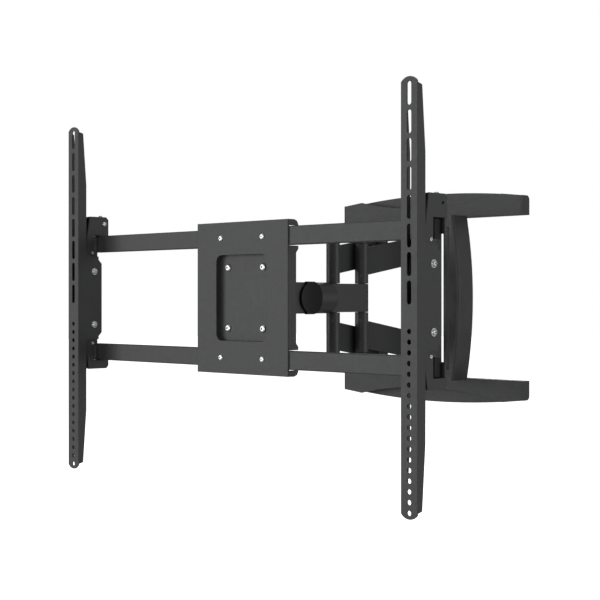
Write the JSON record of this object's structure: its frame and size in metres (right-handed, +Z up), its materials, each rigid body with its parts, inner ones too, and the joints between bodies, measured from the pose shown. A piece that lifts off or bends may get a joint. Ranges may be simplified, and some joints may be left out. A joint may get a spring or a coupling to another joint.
{
  "type": "full motion tv wall mount",
  "caption": "Articulated wall mount for a large screen: wall plate with two bars, folding arm, parallel links, levelling head, rails and tilting slotted brackets.",
  "frame": {"origin": "centre of the wall plate's rear face, on the wall", "axes": "+X right along the wall, +Y into the wall, +Z up; the mount stands out along -Y"},
  "size_m": [0.839, 0.548, 0.622],
  "materials": {
    "powder_steel": "fine-textured charcoal powder coat",
    "powder_casting": "satin charcoal powder coat on castings",
    "black_plastic": "fine matt moulded black plastic",
    "zinc": "bright zinc plate",
    "dark_pin": "black oxide steel"
  },
  "bodies": {
    "wall_plate": {"wall_bar_upper": "powder_steel", "wall_bar_lower": "powder_steel", "wall_fascia_upper": "powder_steel", "wall_fascia_lower": "powder_steel", "wall_cap_upper_left": "black_plastic", "wall_cap_upper_right": "black_plastic", "wall_cap_lower_left": "black_plastic", "wall_cap_lower_right": "black_plastic", "wall_spine": "powder_steel", "wall_lug_upper": "powder_steel", "wall_lug_lower": "powder_steel", "wall_pin": "dark_pin", "wall_column": "powder_steel", "column_cover": "black_plastic"},
    "rear_arm": {"rear_arm_upper": "powder_steel", "rear_arm_lower": "powder_steel", "rear_arm_tube": "powder_steel"},
    "elbow": {"elbow_bridge_upper": "powder_steel", "elbow_bridge_lower": "powder_steel", "elbow_tube": "powder_steel", "elbow_pin": "dark_pin", "fold_pins": "dark_pin"},
    "near_link": {"near_link_upper": "powder_casting", "near_link_lower": "powder_casting", "near_set_screws": "dark_pin"},
    "far_link": {"far_link_upper": "powder_casting", "far_link_lower": "powder_casting", "far_set_screws": "dark_pin"},
    "neck": {"neck_block": "powder_casting", "neck_tube": "powder_casting", "neck_pin_front": "dark_pin", "neck_pin_rear": "dark_pin", "roll_bolt": "zinc", "roll_bush": "black_plastic"},
    "head": {"centre_plate": "powder_steel", "plate_screws": "zinc", "recess_screws": "zinc", "recess_nuts": "zinc", "head_ear_left": "powder_steel", "head_ear_right": "powder_steel", "ear_cover_left": "black_plastic", "ear_cover_right": "black_plastic", "cross_plate": "powder_steel", "rail_upper": "powder_steel", "rail_lower": "powder_steel", "rail_end_caps": "black_plastic"},
    "adapter_left": {"rail_adapter_left": "powder_steel", "adapter_spacers_left": "zinc", "clamp_screw_left": "zinc", "safety_screw_left": "zinc"},
    "adapter_right": {"rail_adapter_right": "powder_steel", "adapter_spacers_right": "zinc", "clamp_screw_right": "zinc", "safety_screw_right": "zinc"},
    "tv_left": {"tv_bracket_left": "powder_steel", "tilt_bolts_left": "zinc"},
    "tv_right": {"tv_bracket_right": "powder_steel", "tilt_bolts_right": "zinc"}
  },
  "joints": [
    {"name": "wall_pivot", "type": "hinge", "parent": "wall_plate", "child": "rear_arm", "pos_m": [0.08, -0.056, 0], "axis": [0, 0, 1], "range_deg": [0, 90]},
    {"name": "elbow_pivot", "type": "hinge", "parent": "rear_arm", "child": "elbow", "pos_m": [-0.0216, -0.056, 0], "axis": [0, 0, 1], "range_deg": [-80, 4]},
    {"name": "fold_pivot", "type": "hinge", "parent": "elbow", "child": "near_link", "pos_m": [-0.0216, -0.13, 0], "axis": [0, 0, -1], "range_deg": [-60, 0]},
    {"name": "far_link_pivot", "type": "hinge", "parent": "elbow", "child": "far_link", "pos_m": [-0.0216, -0.056, 0], "axis": [0, 0, -1], "range_deg": [-60, 0]},
    {"name": "head_pivot", "type": "hinge", "parent": "near_link", "child": "neck", "pos_m": [0, -0.282, 0], "axis": [0, 0, -1], "range_deg": [0, 60]},
    {"name": "level_roll", "type": "hinge", "parent": "neck", "child": "head", "pos_m": [0, -0.386, 0], "axis": [0, 1, 0], "range_deg": [-4, 4]},
    {"name": "adapter_left_slide", "type": "slide", "parent": "head", "child": "adapter_left", "axis": [1, 0, 0], "range_m": [0, 0.25]},
    {"name": "adapter_right_slide", "type": "slide", "parent": "head", "child": "adapter_right", "axis": [-1, 0, 0], "range_m": [0, 0.25]},
    {"name": "tilt_left", "type": "hinge", "parent": "adapter_left", "child": "tv_left", "pos_m": [-0.4, -0.512, 0], "axis": [1, 0, 0], "range_deg": [-5, 10]},
    {"name": "tilt_right", "type": "hinge", "parent": "adapter_right", "child": "tv_right", "pos_m": [0.4, -0.512, 0], "axis": [1, 0, 0], "range_deg": [-5, 10]}
  ],
  "couplings": [
    {"joint": "far_link_pivot", "follows": "fold_pivot", "ratio": 1},
    {"joint": "head_pivot", "follows": "fold_pivot", "ratio": -1},
    {"joint": "tilt_right", "follows": "tilt_left", "ratio": 1}
  ]
}
